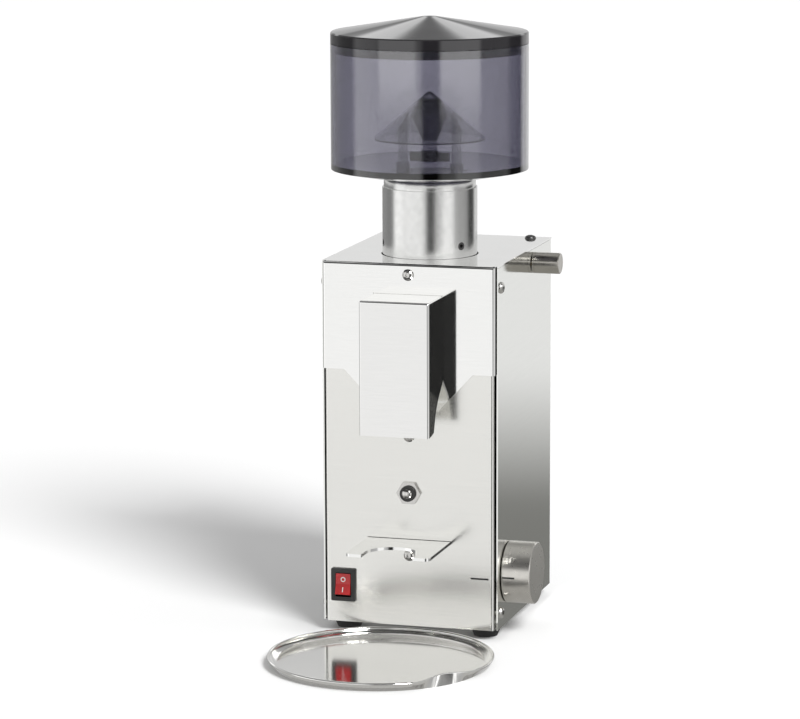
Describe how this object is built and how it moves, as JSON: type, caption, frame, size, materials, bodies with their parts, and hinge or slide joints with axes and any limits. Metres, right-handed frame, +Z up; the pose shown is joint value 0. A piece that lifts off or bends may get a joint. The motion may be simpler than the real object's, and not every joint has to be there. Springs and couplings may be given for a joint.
{
  "type": "electric coffee grinder",
  "caption": "Electric coffee grinder with a smoked bean hopper, worm-driven burr adjustment, timer knob, start button, rocker switch, portafilter fork and grounds tray.",
  "frame": {"origin": "on the table, under the grinding axis, which is the centre line of the neck and the hopper", "axes": "+Z up along the grinding axis, +Y to the back, +X to the right as seen from the front, where the knobs are"},
  "size_m": [0.1537, 0.3002, 0.4135],
  "materials": {
    "polished_steel": "mirror-polished stainless sheet",
    "brushed_steel": "fine brushed stainless sheet",
    "satin_steel": "bright satin stainless sheet",
    "plate_steel": "zinc-plated steel plate",
    "screw_steel": "polished stainless fasteners and pins",
    "dark_screw": "blackened steel screws",
    "zinc_steel": "zinc-plated fasteners and ground steel",
    "foot_rubber": "black rubber",
    "cast_aluminium": "die-cast",
    "turned_aluminium": "turned, fine circular marks",
    "knob_metal": "turned, dark satin",
    "burr_steel": "ground hardened steel",
    "gear_brass": "machined",
    "lamination_steel": "stacked laminations",
    "winding_copper": "enamelled wire",
    "smoked_plastic": "smoke-tinted clear plastic",
    "dark_smoked_plastic": "dark smoke plastic, glossy",
    "black_plastic": "moulded",
    "red_plastic": "moulded",
    "board_green": "circuit board",
    "capacitor_white": "capacitor can"
  },
  "bodies": {
    "case": {"hood": "polished_steel", "front_panel": "brushed_steel", "rear_wrap": "satin_steel", "base_plate": "plate_steel", "feet": "foot_rubber", "foot_screws": "zinc_steel", "foot_nuts": "zinc_steel", "pillars": "plate_steel", "pillar_screws": "zinc_steel", "chassis_plate": "plate_steel", "top_screws": "dark_screw", "case_screws": "screw_steel", "clinch_nuts": "zinc_steel", "chute_cover": "polished_steel", "chute_duct": "cast_aluminium", "portafilter_fork": "polished_steel", "button_nut": "screw_steel", "button_housing": "black_plastic", "switch_housing": "black_plastic", "timer_pot": "board_green", "timer_pot_nut": "screw_steel", "worm_bracket": "plate_steel", "worm_bracket_screws": "zinc_steel", "grinding_chamber": "cast_aluminium", "stator_core": "lamination_steel", "stator_windings": "winding_copper", "upper_end_bell": "cast_aluminium", "lower_end_bell": "cast_aluminium", "motor_bearings": "zinc_steel", "motor_bolts": "zinc_steel", "timer_board": "board_green", "run_capacitor": "capacitor_white", "cable_gland": "black_plastic"},
    "rotor": {"motor_shaft": "zinc_steel", "rotor_core": "lamination_steel", "cooling_fan": "black_plastic", "burr_hub": "cast_aluminium", "lower_burr": "burr_steel", "lower_burr_screws": "screw_steel", "feed_nut": "screw_steel"},
    "adjuster": {"upper_burr": "burr_steel", "upper_burr_screws": "screw_steel", "burr_carrier": "turned_aluminium", "adjusting_ring": "gear_brass", "neck_collar": "turned_aluminium", "neck_screws": "screw_steel", "hopper": "smoked_plastic", "bean_guard": "smoked_plastic", "guard_nut": "dark_smoked_plastic"},
    "worm_shaft": {"worm": "gear_brass", "adjusting_knob": "knob_metal", "adjusting_knob_screw": "dark_screw"},
    "lid": {"hopper_lid": "dark_smoked_plastic"},
    "timer_dial": {"timer_shaft": "screw_steel", "timer_knob": "turned_aluminium", "timer_knob_screw": "dark_screw"},
    "button": {"button_plunger": "screw_steel", "button_spring": "zinc_steel"},
    "rocker": {"rocker": "red_plastic"},
    "tray": {"tray": "polished_steel"}
  },
  "joints": [
    {"name": "rotor_spin", "type": "hinge", "parent": "case", "child": "rotor", "pos_m": [0, 0, 0.15], "axis": [0, 0, 1], "continuous": true},
    {"name": "ring_turn", "type": "hinge", "parent": "case", "child": "adjuster", "pos_m": [0, 0, 0.243], "axis": [0, 0, 1], "range_deg": [-30, 30]},
    {"name": "worm_turn", "type": "hinge", "parent": "case", "child": "worm_shaft", "pos_m": [0, 0.0442, 0.243], "axis": [1, 0, 0], "range_deg": [-1860, 1860]},
    {"name": "lid_lift", "type": "slide", "parent": "adjuster", "child": "lid", "axis": [0, 0, 1], "range_m": [0, 0.06]},
    {"name": "timer_turn", "type": "hinge", "parent": "case", "child": "timer_dial", "pos_m": [0.06, -0.0233, 0.0425], "axis": [-1, 0, 0], "range_deg": [0, 270]},
    {"name": "button_press", "type": "slide", "parent": "case", "child": "button", "axis": [0, 1, 0], "range_m": [0, 0.002], "stiffness_N_per_m": 800, "springref_m": -0.002, "deforming": ["button_spring"]},
    {"name": "rocker_tilt", "type": "hinge", "parent": "case", "child": "rocker", "pos_m": [-0.0461, -0.05045, 0.033], "axis": [1, 0, 0], "range_deg": [0, 20]},
    {"name": "tray_slide", "type": "slide", "parent": "case", "child": "tray", "axis": [0, -1, 0], "range_m": [0, 0.15]}
  ],
  "couplings": [
    {"joint": "worm_turn", "follows": "ring_turn", "ratio": 62}
  ]
}
